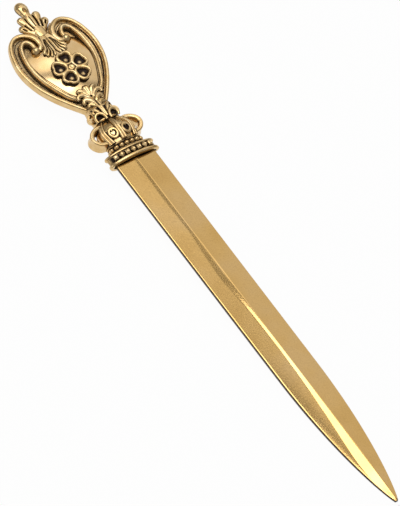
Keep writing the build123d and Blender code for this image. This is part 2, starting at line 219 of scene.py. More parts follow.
def reeds(beads, foot, samples, fullness=2.0):
    """Section of a reeded bar: beads of (middle, half width, height) over a flat foot, round or fuller."""
    left = min(middle - half for middle, half, _ in beads)
    right = max(middle + half for middle, half, _ in beads)
    points = []
    for x in left + (right - left) * (0.5 - 0.5 * np.cos(np.linspace(0, np.pi, samples))):
        arcs = [h * max(1 - abs((x - m) / half) ** fullness, 0) ** (1 / fullness) for m, half, h in beads]
        points.append((float(x), max(arcs)))
    return [(left, foot), *points, (right, foot)]


def sweep(name, path, section, sizes=None, smoothness=8):
    """Draw a section along a path of places, swelling it by sizes, and close both ends."""
    outline = bpy.data.curves.new(name + "_section", "CURVE")
    ring = outline.splines.new("POLY")
    ring.points.add(len(section) - 1)
    for corner, (x, y) in zip(ring.points, section):
        corner.co = (x, y, 0, 1)
    ring.use_cyclic_u = True
    pattern = bpy.data.objects.new(outline.name, outline)
    rail = bpy.data.curves.new(name, "CURVE")
    rail.dimensions = "3D"
    rail.twist_mode = "Z_UP"
    rail.bevel_mode = "OBJECT"
    rail.bevel_object = pattern
    rail.use_fill_caps = True
    rail.resolution_u = smoothness
    line = rail.splines.new("BEZIER")
    line.bezier_points.add(len(path) - 1)
    for i, (knot, place) in enumerate(zip(line.bezier_points, path)):
        knot.co = (*place, face)[:3]
        knot.handle_left_type = knot.handle_right_type = "AUTO"
        knot.radius = sizes[i] if sizes else 1
    piece = bpy.data.objects.new(name, rail)
    for part in (pattern, piece):
        bpy.context.collection.objects.link(part)
    pick(piece)
    bpy.ops.object.convert(target="MESH")
    bpy.data.objects.remove(pattern)
    piece = bpy.context.object
    bpy.ops.object.mode_set(mode="EDIT")
    bpy.ops.mesh.select_all(action="SELECT")
    bpy.ops.mesh.remove_doubles(threshold=0.002)
    bpy.ops.mesh.normals_make_consistent(inside=False)
    bpy.ops.object.mode_set(mode="OBJECT")
    return piece


def move_points(piece, rule):
    """Move every point of a mesh by a rule on its coordinates."""
    moved = rule(*places_of(piece).T)
    piece.data.vertices.foreach_set("co", np.stack(moved, axis=1).ravel())
    piece.data.update()


def places_of(piece):
    """Places of a mesh's points."""
    places = np.empty(3 * len(piece.data.vertices))
    piece.data.vertices.foreach_get("co", places)
    return places.reshape(-1, 3)


def gap_to(line, x, y):
    """Distance of points from a line of places, seen from the front."""
    gap = np.full_like(x, 99.0)
    for (x0, y0), (x1, y1) in zip(line, line[1:]):
        run = (x1 - x0) ** 2 + (y1 - y0) ** 2
        share = np.clip(((x - x0) * (x1 - x0) + (y - y0) * (y1 - y0)) / run, 0, 1)
        gap = np.minimum(gap, np.hypot(x - x0 - share * (x1 - x0), y - y0 - share * (y1 - y0)))
    return gap


def line_beside(path, x, y, gap):
    """Soft line at a gap from a path and its mirror image, 1 in its middle and 0 from 0.36 mm beside it."""
    return np.clip(1.2 - np.abs(gap_to(path, np.abs(x), y) - gap) / 0.3, 0, 1)


def carve(piece, cuts, width, depth):
    """Cut flutes along lines into the front of a casting."""

    def cut(x, y, z):
        sunk = np.max([np.exp(-((gap_to(line, x, y) / width) ** 2)) for line in cuts], axis=0)
        return x, y, z - depth * sunk * np.clip(z / depth, 0, 1)

    move_points(piece, cut)


def both_lines(lines):
    """Lines with their mirror images."""
    return [*lines, *[[(-x, y) for x, y in line] for line in lines]]


def mark_patina_and_painted_light(piece, rule):
    """Mark by a rule where patina and painted shade lie thick whatever stands round it, thinner under painted
    highlights.
    """
    marks = piece.data.attributes.new("mark_patina_and_painted_light", "FLOAT", "POINT")
    marks.data.foreach_set("value", np.asarray(rule(*places_of(piece).T), float))


dressed = []


def settle(piece, nodes, finish, angle=45, painted_wall_shade=0.0, patina_and_shade_share=1.0):
    """Move a finished piece from the bench to its place and hand it to the frame. painted_wall_shade is the
    shade painted on its upright walls, and patina_and_shade_share how much patina and painted shade it takes in
    hollows."""
    piece["painted_wall_shade"], piece["patina_and_shade_share"] = painted_wall_shade, patina_and_shade_share
    pick(piece)
    bpy.ops.object.transform_apply(location=True, rotation=True, scale=True)
    piece.data.transform(to_place)
    bpy.ops.object.mode_set(mode="EDIT")
    bpy.ops.mesh.select_all(action="SELECT")
    bpy.ops.mesh.remove_doubles(threshold=1e-6)
    bpy.ops.mesh.normals_make_consistent(inside=False)
    bpy.ops.object.mode_set(mode="OBJECT")
    bpy.ops.object.shade_smooth_by_angle(angle=math.radians(angle))
    piece.data.materials.clear()
    piece.data.materials.append(finish)
    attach(piece, "root")
    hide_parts(*nodes)
    dressed.append(piece)


# Finishes


def linear(code):
    """sRGB hex to linear RGBA."""
    parts = [int(code[i : i + 2], 16) / 255 for i in (1, 3, 5)]
    return (*[c / 12.92 if c <= 0.04045 else ((c + 0.055) / 1.055) ** 2.4 for c in parts], 1)


def add(tree, kind, links=None, stops=None, **settings):
    """Add a node with its settings, its colour stops, and the values or links of its sockets."""
    node = tree.nodes.new(kind)
    for setting, value in settings.items():
        setattr(node, setting, value)
    for i, (place, tone) in enumerate(stops or ()):
        marks = node.color_ramp.elements
        mark = marks[i] if i < len(marks) else marks.new(place)
        mark.position = place
        mark.color = linear(tone) if isinstance(tone, str) else (tone, tone, tone, 1)
    for socket, source in (links or {}).items():
        if isinstance(source, bpy.types.NodeSocket):
            tree.links.new(source, node.inputs[socket])
        else:
            node.inputs[socket].default_value = source
    return node


def new_finish(name):
    """Empty node material with its surface shader."""
    finish = bpy.data.materials.new(name)
    finish.use_nodes = True
    return finish, finish.node_tree, finish.node_tree.nodes["Principled BSDF"]


def antique_gilt():
    """Cast brass with antiqued gilding: rubbed bright on what stands proud, with brown-black patina and painted
    shade in what lies deep and on upright walls, and the casting leaves the skin slightly uneven."""
    finish, tree, shader = new_finish("antique_gilt_cast_brass")
    place = add(tree, "ShaderNodeTexCoord").outputs["Object"]
    depth = add(tree, "ShaderNodeAttribute", attribute_name="wash").outputs["Fac"]
    mottle = add(tree, "ShaderNodeTexNoise", {"Vector": place, "Scale": 1 / (2.5 * MM), "Detail": 4.0})
    skin = add(tree, "ShaderNodeTexNoise", {"Vector": place, "Scale": 1 / (0.45 * MM), "Detail": 3.0})
    golds = [(0.3, "#D0AC72"), (0.55, "#DDBD88"), (0.75, "#E5CB9C")]
    gold = add(tree, "ShaderNodeValToRGB", {"Fac": mottle.outputs["Fac"]}, golds).outputs["Color"]
    drift = add(tree, "ShaderNodeMath", {0: skin.outputs["Fac"], 1: 0.3, 2: -0.15}, operation="MULTIPLY_ADD")
    settled = add(tree, "ShaderNodeMath", {0: depth, 1: drift.outputs[0]}, operation="ADD")
    covers = [(0.42, 0.0), (0.72, 1.0)]
    cover = add(tree, "ShaderNodeValToRGB", {"Fac": settled.outputs[0]}, covers).outputs["Color"]
    # Dark brown of the patina and of the painted shade, laid on by the wash attribute.
    colour = add(tree, "ShaderNodeMix", {0: cover, 6: gold, 7: linear("#26170C")}, data_type="RGBA")
    rough = add(tree, "ShaderNodeMapRange", {"Value": cover, "To Min": 0.22, "To Max": 0.4})
    body = add(tree, "ShaderNodeMapRange", {"Value": cover, "To Min": 1.0, "To Max": 0.2})
    gloss = add(tree, "ShaderNodeMapRange", {"Value": cover, "To Min": 0.5, "To Max": 0.15})
    bump = add(tree, "ShaderNodeBump", {"Height": skin.outputs["Fac"], "Strength": 0.25, "Distance": 0.05 * MM})
    tree.links.new(colour.outputs[2], shader.inputs["Base Color"])
    tree.links.new(rough.outputs[0], shader.inputs["Roughness"])
    tree.links.new(body.outputs[0], shader.inputs["Metallic"])
    tree.links.new(gloss.outputs[0], shader.inputs["Specular IOR Level"])
    tree.links.new(bump.outputs[0], shader.inputs["Normal"])
    return finish


def satin_gilt():
    """Gilded blade with a satin skin: pressed metal with a fine pebbled grain that breaks up reflections, warm
    and pale patches from the plating, and painted shade along its edge walls and under the collar."""
    finish, tree, shader = new_finish("satin_gilt_pressed_brass")
    place = add(tree, "ShaderNodeTexCoord").outputs["Object"]
    depth = add(tree, "ShaderNodeAttribute", attribute_name="wash").outputs["Fac"]
    patch = add(tree, "ShaderNodeTexNoise", {"Vector": place, "Scale": 1 / (14 * MM), "Detail": 2.0})
    pebble = add(tree, "ShaderNodeTexNoise", {"Vector": place, "Scale": 1 / (0.4 * MM), "Detail": 3.0})
    golds = [(0.32, "#CCA463"), (0.5, "#D2AB6B"), (0.68, "#D2AE75")]
    gold = add(tree, "ShaderNodeValToRGB", {"Fac": patch.outputs["Fac"]}, golds).outputs["Color"]
    grains = [(0.3, 0.78), (0.55, 1.0)]
    grain = add(tree, "ShaderNodeValToRGB", {"Fac": pebble.outputs["Fac"]}, grains).outputs["Color"]
    grained = add(tree, "ShaderNodeMix", {0: 0.5, 6: gold, 7: grain}, data_type="RGBA", blend_type="MULTIPLY")
    cover = add(tree, "ShaderNodeValToRGB", {"Fac": depth}, [(0.3, 0.0), (0.8, 1.0)]).outputs["Color"]
    # Near black of the painted shade on the edge walls and under the collar, laid on by the wash attribute.
    colour = add(
        tree, "ShaderNodeMix", {0: cover, 6: grained.outputs[2], 7: linear("#1A0F07")}, data_type="RGBA"
    )
    rough = add(tree, "ShaderNodeMapRange", {"Value": pebble.outputs["Fac"], "To Min": 0.07, "To Max": 0.14})
    body = add(tree, "ShaderNodeMapRange", {"Value": cover, "To Min": 1.0, "To Max": 0.2})
    gloss = add(tree, "ShaderNodeMapRange", {"Value": cover, "To Min": 0.5, "To Max": 0.1})
    bump = add(
        tree, "ShaderNodeBump", {"Height": pebble.outputs["Fac"], "Strength": 0.11, "Distance": 0.05 * MM}
    )
    tree.links.new(colour.outputs[2], shader.inputs["Base Color"])
    tree.links.new(rough.outputs[0], shader.inputs["Roughness"])
    tree.links.new(bump.outputs[0], shader.inputs["Normal"])
    tree.links.new(body.outputs[0], shader.inputs["Metallic"])
    tree.links.new(gloss.outputs[0], shader.inputs["Specular IOR Level"])
    return finish


def polished_gilt():
    """Polished gilt field of the heart: smoother than the casting round it, with hairline rubbing marks and a
    little patina and painted shade along its border."""
    finish, tree, shader = new_finish("polished_gilt_brass")
    place = add(tree, "ShaderNodeTexCoord").outputs["Object"]
    depth = add(tree, "ShaderNodeAttribute", attribute_name="wash").outputs["Fac"]
    cloud = add(tree, "ShaderNodeTexNoise", {"Vector": place, "Scale": 1 / (4 * MM), "Detail": 3.0})
    slant = add(tree, "ShaderNodeMapping", {"Vector": place, "Rotation": (0, 0, 0.6), "Scale": (9, 1, 1)})
    hairs = add(
        tree, "ShaderNodeTexNoise", {"Vector": slant.outputs[0], "Scale": 1 / (1.6 * MM), "Detail": 2.0}
    )
    golds = [(0.3, "#D6B27A"), (0.6, "#E0C08E")]
    gold = add(tree, "ShaderNodeValToRGB", {"Fac": cloud.outputs["Fac"]}, golds).outputs["Color"]
    cover = add(tree, "ShaderNodeValToRGB", {"Fac": depth}, [(0.3, 0.0), (0.75, 1.0)]).outputs["Color"]
    # Dark brown of the patina and painted shade along the border, laid on by the wash attribute.
    colour = add(tree, "ShaderNodeMix", {0: cover, 6: gold, 7: linear("#26170C")}, data_type="RGBA")
    rough = add(tree, "ShaderNodeMapRange", {"Value": hairs.outputs["Fac"], "To Min": 0.12, "To Max": 0.18})
    bump = add(
        tree, "ShaderNodeBump", {"Height": hairs.outputs["Fac"], "Strength": 0.04, "Distance": 0.03 * MM}
    )
    tree.links.new(colour.outputs[2], shader.inputs["Base Color"])
    tree.links.new(rough.outputs[0], shader.inputs["Roughness"])
    tree.links.new(bump.outputs[0], shader.inputs["Normal"])
    shader.inputs["Metallic"].default_value = 1
    return finish


antique = antique_gilt()
satin = satin_gilt()
polished = polished_gilt()

# Blade and collar


def make_blade():
    """Hollow-ground blade: on both faces a ridge with steeper shoulders, narrow at the collar and broader in
    the middle, facets that swell towards the point, flat edge walls, and a long curve to the point."""
    sides = 98
    runs = [0.8, *np.linspace(0, -blade_run, 24), *(-blade_run - point_run * np.linspace(0.03, 0.984, 44))]
    blade = turn("hollow_ground_blade", [(float(y), 1, 1) for y in runs], sides)

    def hollow(x, y, z):
        corner = math.pi / sides
        across = 1 - 2 * (np.abs(np.arctan2(z, x)) - corner) / (math.pi - 2 * corner)
        share = np.clip((-blade_run - y) / point_run, 0, 1)
        half = np.maximum(blade_half * (1 - share**2) ** 0.8, 0.4)
        edge = edge_half[0] + (edge_half[1] - edge_half[0]) * share**2
        ridge = ridge_half[0] + (ridge_half[1] - ridge_half[0]) * np.clip((-30 - y) / 70, 0, 1)
        ridge = ridge + (ridge_half[2] - ridge) * share**6
        facet = np.interp(y, *zip(*facet_slope))
        steep = np.interp(y, *zip(*shoulder_slope))
        shoulder = np.clip((ridge - edge - facet * half) / (steep - facet), 0.3, 0.97 * half)
        fall = ridge - edge - facet * (half - shoulder)
        out = 3 * np.abs(across)
        past = np.clip((out - 1) / 2, 0, 1)
        reach = np.where(out < 1, shoulder * out, shoulder + (half - shoulder) * past)
        rounded = np.hypot(out, ridge_rounding) - ridge_rounding
        rounded = rounded / (math.hypot(1, ridge_rounding) - ridge_rounding)
        swell = 1 + facet_swell * np.clip((-70 - y) / 30, 0, 1) * past
        height = np.where(out < 1, ridge - fall * rounded, edge + facet * (half - reach) * swell)
        return np.sign(across) * reach, y, np.sign(z) * height

    move_points(blade, hollow)
    modify(blade, "BEVEL", width=0.08, segments=2, limit_method="ANGLE", angle_limit=math.radians(50))
    bpy.ops.object.select_all(action="DESELECT")
    bpy.ops.mesh.primitive_cube_add(size=1, location=(0, tang_middle, 0), scale=tang_size)
    tang = fresh("tang")
    modify(tang, "BEVEL", width=0.2, segments=2)
    # Painted shade: the blade's edge walls are painted dark, as they look in shadow.
    settle(join("hollow_ground_blade", [blade, tang]), ["blade"], satin, 30, painted_wall_shade=0.9)


def make_collar():
    """Oval collar: a lip above and below the jewel channel, and a hollow underneath round the blade."""
    steps = (
        (0.6, -0.9), (0.5, -0.75), (0.1, -0.65), (0.02, -0.5), (0.0, 0.0), (0.0, 0.52), (0.08, 0.72),
        (0.25, 0.8), (0.75, 0.8), (0.93, 0.74), (1.05, 0.6), (1.11, 0.4), (1.15, 0.2), (1.25, 0.15),
        (2.0, 0.15), (2.9, 0.15), (3.02, 0.2), (3.06, 0.4), (3.14, 0.6), (3.3, 0.69), (3.6, 0.69), (3.78, 0.6),
        (3.88, 0.38), (3.9, 0.1), (3.9, -0.6), (3.9, -1.2),
    )
    collar = turn("jewelled_collar", oval_profile(steps, *collar_half), 128)

    def hollows(x, y, z):
        # Painted shade: the hollow under the collar, seen in shadow, is painted near black; the jewel channel
        # takes patina, lighter towards its ends.
        recess = (y < 0.7) & (np.hypot(x / 7.55, z / 1.75) < 1)
        channel = (np.abs(y - 2.05) < 0.88) * np.interp(np.abs(x), (6.6, 7.8), (0.95, 0.5))
        return np.maximum(0.95 * recess, channel)

    mark_patina_and_painted_light(collar, hollows)
    settle(collar, ["collar"], antique, patina_and_shade_share=0.45)


def make_jewels():
    """Table-cut jewels, square and lozenge in turn, along the channel on the front and the back."""
    bpy.ops.object.select_all(action="DESELECT")
    bpy.ops.mesh.primitive_cube_add(size=1.44, location=(0, 0, 0.3))
    stone = fresh("jewel")
    stone.scale = (1, 1, 0.7)
    bpy.ops.object.transform_apply(location=True, scale=True)
    bpy.ops.object.mode_set(mode="EDIT")
    bpy.ops.mesh.select_all(action="DESELECT")
    bpy.ops.object.mode_set(mode="OBJECT")
    for side in stone.data.polygons:
        side.select = side.normal.z > 0.9
    bpy.ops.object.mode_set(mode="EDIT")
    bpy.ops.mesh.inset(thickness=0.3)
    bpy.ops.transform.translate(value=(0, 0, 0.28))
    bpy.ops.mesh.inset(thickness=0.14)
    bpy.ops.transform.translate(value=(0, 0, -0.1))
    bpy.ops.object.mode_set(mode="OBJECT")
    modify(stone, "BEVEL", width=0.07, segments=2, limit_method="ANGLE", angle_limit=math.radians(20))
    row = []
    half_width, half_depth = collar_half
    for i in range(jewels_each_side):
        x = (i - jewels_each_side // 2) * jewel_pitch
        z = half_depth * math.sqrt(1 - (x / half_width) ** 2)
        lean = math.atan2(x / half_width**2, z / half_depth**2)
        for back in (0, math.pi):
            jewel = copy_of(stone)
            pose = Matrix.Rotation(back, 4, "Y") @ Matrix.Translation((1.02 * x, jewel_level, z + 0.12))
            spin = Matrix.Rotation(math.pi / 4 * (i % 2), 4, "Z")
            jewel.data.transform(pose @ Matrix.Rotation(lean, 4, "Y") @ spin)
            row.append(jewel)
    bpy.data.objects.remove(stone)
    jewels = join("collar_jewel_row", row)
    settle(jewels, ["collar_jewels"], antique, 25, painted_wall_shade=0.85, patina_and_shade_share=0.15)


def make_gallery():
    """Oval gallery with a lip above and below a row of pearls."""
    steps = (
        (3.9, -0.8), (3.9, 0.3), (3.96, 0.44), (4.1, 0.5), (4.25, 0.44), (4.36, 0.25), (4.42, 0.0), (5.2, -0.1),
        (5.98, 0.0), (6.04, 0.25), (6.15, 0.44), (6.3, 0.5), (6.44, 0.44), (6.5, 0.3), (6.5, -0.8),
    )
    ring = turn("pearl_gallery", oval_profile(steps, *gallery_half), 96)
    settle(ring, ["gallery_ring"], antique)
    pearls = []
    width, depth = pearl_oval
    turns = np.linspace(0, 2 * math.pi, 721)
    arcs = np.hypot(np.diff(width * np.sin(turns)), np.diff(depth * np.cos(turns)))
    run = np.concatenate([[0], np.cumsum(arcs)])
    for spot in np.interp(np.arange(pearl_count) / pearl_count * run[-1], run, turns):
        bpy.ops.object.select_all(action="DESELECT")
        place = (width * math.sin(spot), pearl_level, depth * math.cos(spot))
        bpy.ops.mesh.primitive_uv_sphere_add(segments=24, ring_count=14, radius=pearl_radius, location=place)
        pearl = fresh("pearl")
        pearl.rotation_euler = (0, spot, 0)
        pearl.scale = (1.05, 1.0, 0.95)
        bpy.ops.object.transform_apply(location=True, rotation=True, scale=True)
        pearls.append(pearl)
    settle(join("pearl_row", pearls), ["gallery_pearls"], antique, patina_and_shade_share=0.8)


# Crown


def crown_half(height):
    """Half width of the crown's belly at a height over its foot."""
    low = 5.6 + 0.9 * np.sin(math.pi / 2 * np.clip(height / crown_belly_level, 0, 1))
    high = 4.0 + 2.5 * np.cos(math.pi / 2 * np.clip((height - crown_belly_level) / 4.3, 0, 1))
    return np.where(height < crown_belly_level, low, high)


def lay_on_crown(piece, turned):
    """Lay a piece that was modelled flat round the crown's belly, at a turn from the front."""
    middle = math.radians(turned)

    def wrap(x, y, z):
        half = crown_half(y)
        slope = (crown_half(y + 0.05) - crown_half(y - 0.05)) / 0.1
        depth = half * crown_flatness
        reach = np.hypot(half * math.cos(middle), depth * math.sin(middle))
        spot = middle + x / reach
        out = np.stack([np.sin(spot) / half, -slope / half, np.cos(spot) / depth])
        out /= np.linalg.norm(out, axis=0)
        return (
            half * np.sin(spot) + out[0] * z,
            crown_foot + y + out[1] * z,
            depth * np.cos(spot) + out[2] * z,
        )

    move_points(piece, wrap)
    return piece


def make_crown():
    """Belly of the crown with six reeded ribs, and a rounded cap."""
    heights = np.linspace(0, crown_rise, 34)
    halves = crown_half(heights)
    belly = np.stack([crown_foot + heights, halves - 0.6, halves * crown_flatness - 0.6], axis=1).tolist()
    settle(turn("crown_belly", belly, 128), ["crown_body"], antique)
    ribs = []
    section = reeds([(-0.42, 0.4, 0.24), (0.42, 0.4, 0.24), (0, 0.3, 0.05)], -0.75, 25)
    path = [(0, 0.05, 0), (0, 2, 0), (0, 4.2, 0), (0, 6.4, 0), (0, 8.4, 0)]
    for turned in rib_turns:
        rib = sweep("crown_rib", path, section, [1.2, 1.1, 1, 0.95, 0.9])
        ribs.append(lay_on_crown(rib, turned))
    settle(join("crown_rib_set", ribs), ["crown_ribs"], antique)
    steps = (
        (15.0, -0.5), (15.0, 0.1), (15.08, 0.3), (15.25, 0.4), (15.55, 0.4), (15.72, 0.3), (15.8, 0.1),
        (15.8, -0.5),
    )
    cap = turn("crown_cap_ring", oval_profile(steps, *crown_cap_half), 96)
    settle(cap, ["crown_cap"], antique)


def make_hearts():
    """Oval eyelets with a rolled rim round a heart-shaped hollow, two on the front and two on the back."""
    rows = (
        (1.0, 0, -0.6), (1.0, 0, -0.1), (0.98, 0, 0.08), (0.9, 0, 0.2), (0.8, 0.1, 0.22), (0.72, 0.35, 0.15),
        (1.12, 1, 0.02), (1.0, 1, -0.15), (0.88, 1, -0.32), (0.5, 1, -0.36), (0.1, 1, -0.36),
    )
    hearts = []
    for turned in eyelet_turns:
        eyelet = turn("heart_eyelet", [(k, 1, 1) for k in range(len(rows))], 72)

        def shape(x, y, z):
            row = np.round(y).astype(int)
            scale, mix, height = np.array(rows)[row].T
            spot = np.arctan2(x, z)
            oval = np.stack([1.65 * np.sin(spot), 2.0 * np.cos(spot)])
            heart = np.stack([
                1.05 * np.sin(spot) ** 3,
                0.08 * (13 * np.cos(spot) - 5 * np.cos(2 * spot) - 2 * np.cos(3 * spot) - np.cos(4 * spot)),
            ])
            flat = scale * (oval * (1 - mix) + heart * mix)
            return flat[0], eyelet_level + flat[1], height

        # The heart hollows are painted dark with patina and painted shade; on the left eyelets a painted
        # highlight lightens the floor.
        painted_highlight = 0.6 if turned in highlit_eyelets else 0.1
        mark_patina_and_painted_light(eyelet, lambda x, y, z: 0.95 * (y > 6.5) - painted_highlight * (y > 8.5))
        move_points(eyelet, shape)
        hearts.append(lay_on_crown(eyelet, turned))
    settle(join("heart_eyelet_set", hearts), ["crown_hearts"], antique, patina_and_shade_share=0.5)


def make_hoops():
    """Open hoops at the crown's sides: a broad band with rounded edges and a hollowed outer face."""
    section = [(1.0, 1.5), (0.7, 2.0), (-0.2, 2.08), (-0.45, 1.8), (-0.32, 1.0), (-0.28, 0)]
    section += [(x, -y) for x, y in reversed(section[:-1])]
    path = [
        (3.9, 13.8, 0), (5.4, 13.8, 0), (7.1, 13.1, 0), (8.35, 11.8, 0), (8.65, 10.4, 0), (8.1, 9.0, 0),
        (6.9, 7.9, 0), (5.2, 7.5, 0),
    ]
    right = sweep("crown_hoop_band_right", path, section)
    modify(right, "BEVEL", width=0.1, segments=2, limit_method="ANGLE", angle_limit=math.radians(40))
    left = mirrored(right)
    left.name = "crown_hoop_band_left"
    settle(right, ["crown_hoop_right"], antique)
    settle(left, ["crown_hoop_left"], antique)


# Heart


def make_plate():
    """Heart-shaped plate with its neck, with the soft edges of a casting."""
    plate = cast("heart_plate_cast", [from_cad("heart_plate_cast", "heart_plate")], 0.16, 5)

    def draw_in(x, y, z):
        lobes = (y > 45) & (np.abs(x) > 5)
        return x * np.where(y > 20, 0.985, 1), np.where(lobes, 45 + 0.97 * (y - 45), y), z

    move_points(plate, draw_in)

    def thick(x, y, z):
        neck = (y < 19.8) & (z > 1.5) & (np.abs(x) < 3.6)
        channel = (y > 20.5) & (z > 0.15)
        # The channel floors are painted darker on the left than on the right.
        floor = np.where(x < 0, *channel_darkness)
        lines = np.maximum(line_beside(frame_path, x, y, 0.9), line_beside(rim_path, x, y, 0.72))
        return np.where(neck, 0.8, np.maximum(floor, 0.85 * lines) * channel)

    mark_patina_and_painted_light(plate, thick)
    settle(plate, ["heart_plate"], antique, patina_and_shade_share=0.7)


def make_mouldings():
    """Rim scrolls: a broad bead that curls into a volute with a bulb, and a narrow bead inside it; and
    full round inner frames that hook into the bulb."""
    broad = reeds([(0.39, 0.66, 1.0)], -0.5, 31, 2.8)
    sizes = [0.8, 0.95, 1, 1, 1, 1, 1, 1, 1, 1.08, 1.2, 1.35, 1.45, 1.5, 1.5, 1.3]
    band = sweep("rim_band", rim_path, broad, sizes, 36)
    narrow = reeds([(-0.4, 0.2, 0.5)], -0.5, 21)
    bead = sweep("rim_bead", rim_path[:10], narrow, [0.8, 0.95, *[1] * 6, 0.8, 0.3], 36)
    bpy.ops.object.select_all(action="DESELECT")
    bpy.ops.mesh.primitive_uv_sphere_add(
        segments=40, ring_count=24, radius=1.45, location=(*bulb_middle, 1.0)
    )
    scroll = join("rim_scroll_reeded_right", [band, bead, fresh("rim_bulb")])
    frame_section = reeds([(0, 0.8, 1.72)], -0.1, 41, 2.5)
    sizes = [*[1] * 13, 0.9, 0.7]
    bar = sweep("inner_frame_bar_right", frame_path, frame_section, sizes, 40)

    def raise_curl(x, y, z):
        near = np.clip(1.7 - np.hypot(x - 4.9, y - 48.6) / 3.0, 0, 1)
        return x, y, z + near * near * (3 - 2 * near) * (0.35 - 0.15 * np.maximum(z - 1.6, 0)) * (z > 0)

    mark_patina_and_painted_light(scroll, lambda x, y, z: 0.7 * line_beside(rim_path[:10], x, y, 0.27) * (z < 0.4) * (y < 49))
    for piece, node, walls in ((scroll, "rim_scroll", 0.0), (bar, "inner_frame", 0.66)):
        move_points(piece, raise_curl)
        twin = mirrored(piece)
        twin.name = piece.name.replace("right", "left")
        settle(piece, [node + "_right"], antique, painted_wall_shade=walls, patina_and_shade_share=0.35)
        settle(twin, [node + "_left"], antique, painted_wall_shade=walls, patina_and_shade_share=0.35)


def make_panel():
    """Domed field inside the frame."""
    right = list(frame_path[3:])
    outline = right + [(-x, y) for x, y in reversed(right)]
    turns = np.array([math.atan2(x, y - rosette_middle) for x, y in outline])
    reaches = np.array([math.hypot(x, y - rosette_middle) for x, y in outline])
    order = np.argsort(turns)
    rings = 110
    field = turn("domed_field", [(k, 1, 1) for k in range(rings)], 420)

    def dome(x, y, z):
        spot = np.arctan2(x, z)
        reach = np.interp(spot, turns[order], reaches[order], period=2 * math.pi)
        row = np.round(y)
        share = np.where(row < 2, 1, 1 - (row - 2) / (rings - 2.5))
        across, along = reach * share * np.sin(spot), reach * share * np.cos(spot)
        top = field_top - (field_radius - np.sqrt(field_radius**2 - across**2 - along**2))
        height = np.where(row < 1, 0.05, np.where(row < 2, np.maximum(top - 0.3, 0.1), np.maximum(top, 0.15)))
        return across, rosette_middle + along, height

    move_points(field, dome)
    mark_patina_and_painted_light(field, lambda x, y, z: 0.8 * line_beside(frame_path, x, y, 0.85))
    settle(field, ["panel"], polished, 60, patina_and_shade_share=0.25)


def petal_line(spot, half_width, half_run, flare, notch):
    """Point on a petal's outline at a turn from its tip: a rounded wedge, wider outwards, dented at its end."""
    across = half_width * np.sign(np.sin(spot)) * np.abs(np.sin(spot)) ** 0.8
    along = half_run * np.sign(np.cos(spot)) * np.abs(np.cos(spot)) ** 0.8
    across = across * (1 + flare * along / half_run)
    along = along - notch * np.exp(-((across / 0.55) ** 2)) * (along > 0)
    return across, along


def make_rosette():
    """Five cupped petals run together round a boss."""
    rows = (
        (0, 1.0, 1.6), (0, 1.0, 2.9), (0, 0.99, 3.25), (0, 0.95, 3.48), (0.3, 0.99, 3.59), (0.6, 1.04, 3.6),
        (0.85, 1.06, 3.52), (1, 1.05, 3.3), (1, 1.0, 2.98), (1, 0.92, 2.75), (1, 0.78, 2.62), (1, 0.55, 2.56),
        (1, 0.25, 2.54), (1, 0.05, 2.54),
    )
    petals = []
    for i in range(petal_count):
        petal = turn("petal", [(k, 1, 1) for k in range(len(rows))], 64)

        def shape(x, y, z):
            mix, scale, height = np.array(rows)[np.round(y).astype(int)].T
            spot = np.arctan2(x, z)
            outer, cup = petal_line(spot, 2.7, 2.6, 0.12, 0.22), petal_line(spot, 1.45, 1.65, 0.38, 0.16)
            across = scale * (outer[0] * (1 - mix) + cup[0] * mix)
            along = petal_reach + scale * (outer[1] * (1 - mix) + cup[1] * mix)
            lean = 2 * math.pi * i / petal_count
            return (
                across * math.cos(lean) - along * math.sin(lean),
                rosette_middle + across * math.sin(lean) + along * math.cos(lean),
                height,
            )

        move_points(petal, shape)
        petals.append(petal)
    rosette = cast("five_petal_rosette", petals, 0.1, 2)

    # Painted shade and highlight: the cups are painted dark with patina and painted shade, darker deeper down,
    # and lightened by a painted highlight right of each cup's middle and towards the blade.
    def cups(x, y, z):
        reach = np.hypot(x, y - rosette_middle)
        painted_highlight = np.zeros_like(x)
        for i in range(petal_count):
            lean = 2 * math.pi * i / petal_count
            across = x - 0.15 + petal_reach * math.sin(lean)
            along = y + 0.3 - rosette_middle - petal_reach * math.cos(lean)
            painted_highlight = np.maximum(painted_highlight, np.clip(1.2 - np.hypot(across, along) / 0.8, 0, 1))
        depth = np.clip((3.3 - z) / 0.5, 0, 1) * (cup_shade_and_highlight[0] - cup_shade_and_highlight[1] * painted_highlight)
        return np.where((reach > 1.2) & (reach < 5.2), depth, 0)

    mark_patina_and_painted_light(rosette, cups)
    # Painted shade: the rosette's outer walls are painted dark, as they look in shadow.
    settle(rosette, ["rosette"], antique, painted_wall_shade=0.9)
    steps = ((1.6, 1.15), (3.0, 1.15), (3.3, 1.08), (3.45, 0.85), (3.5, 0.6), (3.42, 0.35), (3.38, 0.1))
    boss = turn("rosette_boss_bead", [(k, 1, 1) for k in range(len(steps))], 40)

    def bead(x, y, z):
        height, scale = np.array(steps)[np.round(y).astype(int)].T
        return scale * x, rosette_middle + scale * z, height

    move_points(boss, bead)
    settle(boss, ["rosette_boss"], antique)


# Leaves and neck


def strand(path, sizes, flat=0.8):
    """Round strand of a leaf along a path, swelling and tapering by its half widths."""
    turns = np.linspace(0, 2 * math.pi, 20, endpoint=False)
    section = [(float(np.cos(t)), float(flat * np.sin(t))) for t in turns]
    return sweep("strand", path, section, sizes, 10)


def both(pieces):
    """Pieces with their mirror images."""
    return pieces + [mirrored(piece) for piece in pieces]


def flat_back(piece):
    """Press what lies behind the plate's back up to it."""
    move_points(piece, lambda x, y, z: (x, y, np.maximum(z, plate_back)))


